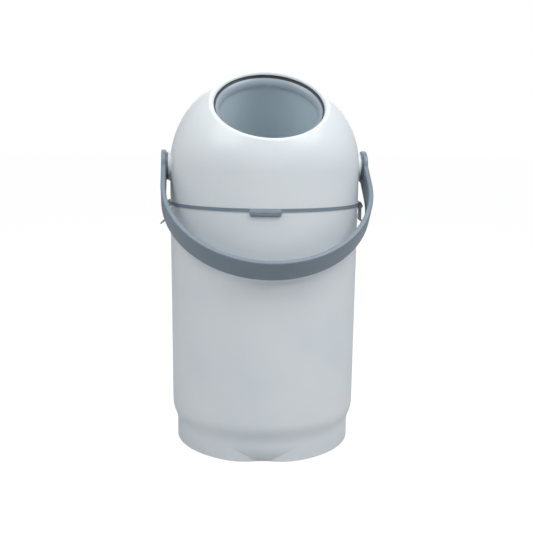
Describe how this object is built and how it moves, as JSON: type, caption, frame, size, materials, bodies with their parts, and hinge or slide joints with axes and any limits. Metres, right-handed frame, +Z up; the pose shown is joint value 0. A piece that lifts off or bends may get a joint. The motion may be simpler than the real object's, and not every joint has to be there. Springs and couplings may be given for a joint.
{
  "type": "diaper pail",
  "caption": "Tall round pail with a dome head; a ball drum with a chamber and sliding piston turns by a U-shaped handle to drop what is put in into the bin below.",
  "frame": {"origin": "centre of the pail's axis on the floor", "axes": "+Z up along the pail's axis, -Y towards the front where the head's opening faces, +X towards the pail's right as seen from the front"},
  "size_m": [0.3212, 0.3185, 0.5692],
  "materials": {
    "white_plastic": "satin white moulded plastic",
    "grey_plastic": "satin blue-grey moulded plastic",
    "inner_plastic": "pale natural plastic of the inner parts",
    "soft_seal": "dark grey soft sealing rubber",
    "zinc_screw": "zinc-plated steel",
    "steel_weight": "primed steel disc"
  },
  "bodies": {
    "bin": {"bin_body": "white_plastic", "anti_slip_ring": "soft_seal"},
    "head": {"clamp_ring": "grey_plastic", "dome_shell": "white_plastic", "partition": "inner_plastic", "opening_seal": "soft_seal", "outlet_seal": "soft_seal", "left_bushing": "inner_plastic", "right_bushing": "inner_plastic", "head_screws": "zinc_screw", "left_clip_pin": "zinc_screw", "right_clip_pin": "zinc_screw"},
    "drum": {"drum_left_half": "grey_plastic", "drum_right_half": "grey_plastic", "drum_screws": "zinc_screw", "chamber_tube": "grey_plastic", "opening_mouth_ring": "grey_plastic", "outlet_mouth_ring": "grey_plastic", "left_hub": "grey_plastic", "right_hub": "grey_plastic", "handle": "grey_plastic", "hub_screws": "zinc_screw", "hub_caps": "grey_plastic"},
    "piston": {"piston_upper_cap": "grey_plastic", "piston_lower_cap": "grey_plastic", "piston_seal": "soft_seal", "piston_weight": "steel_weight", "piston_screws": "zinc_screw"},
    "left_clip": {"left_clip": "grey_plastic"},
    "right_clip": {"right_clip": "grey_plastic"}
  },
  "joints": [
    {"name": "head_lift", "type": "slide", "parent": "bin", "child": "head", "axis": [0, 0, 1], "range_m": [0, 0.12]},
    {"name": "drum_turn", "type": "hinge", "parent": "head", "child": "drum", "pos_m": [0, 0, 0.425], "axis": [-1, 0, 0], "range_deg": [0, 180]},
    {"name": "piston_slide", "type": "slide", "parent": "drum", "child": "piston", "axis": [0, -0.5962, 0.8028], "range_m": [0, 0.132]},
    {"name": "right_clip_hinge", "type": "hinge", "parent": "head", "child": "right_clip", "pos_m": [0.14834, -0.01167, 0.366], "axis": [-0.0785, -0.9969, 0], "range_deg": [0, 60]},
    {"name": "left_clip_hinge", "type": "hinge", "parent": "head", "child": "left_clip", "pos_m": [-0.14834, 0.01167, 0.366], "axis": [0.0785, 0.9969, 0], "range_deg": [0, 60]}
  ]
}
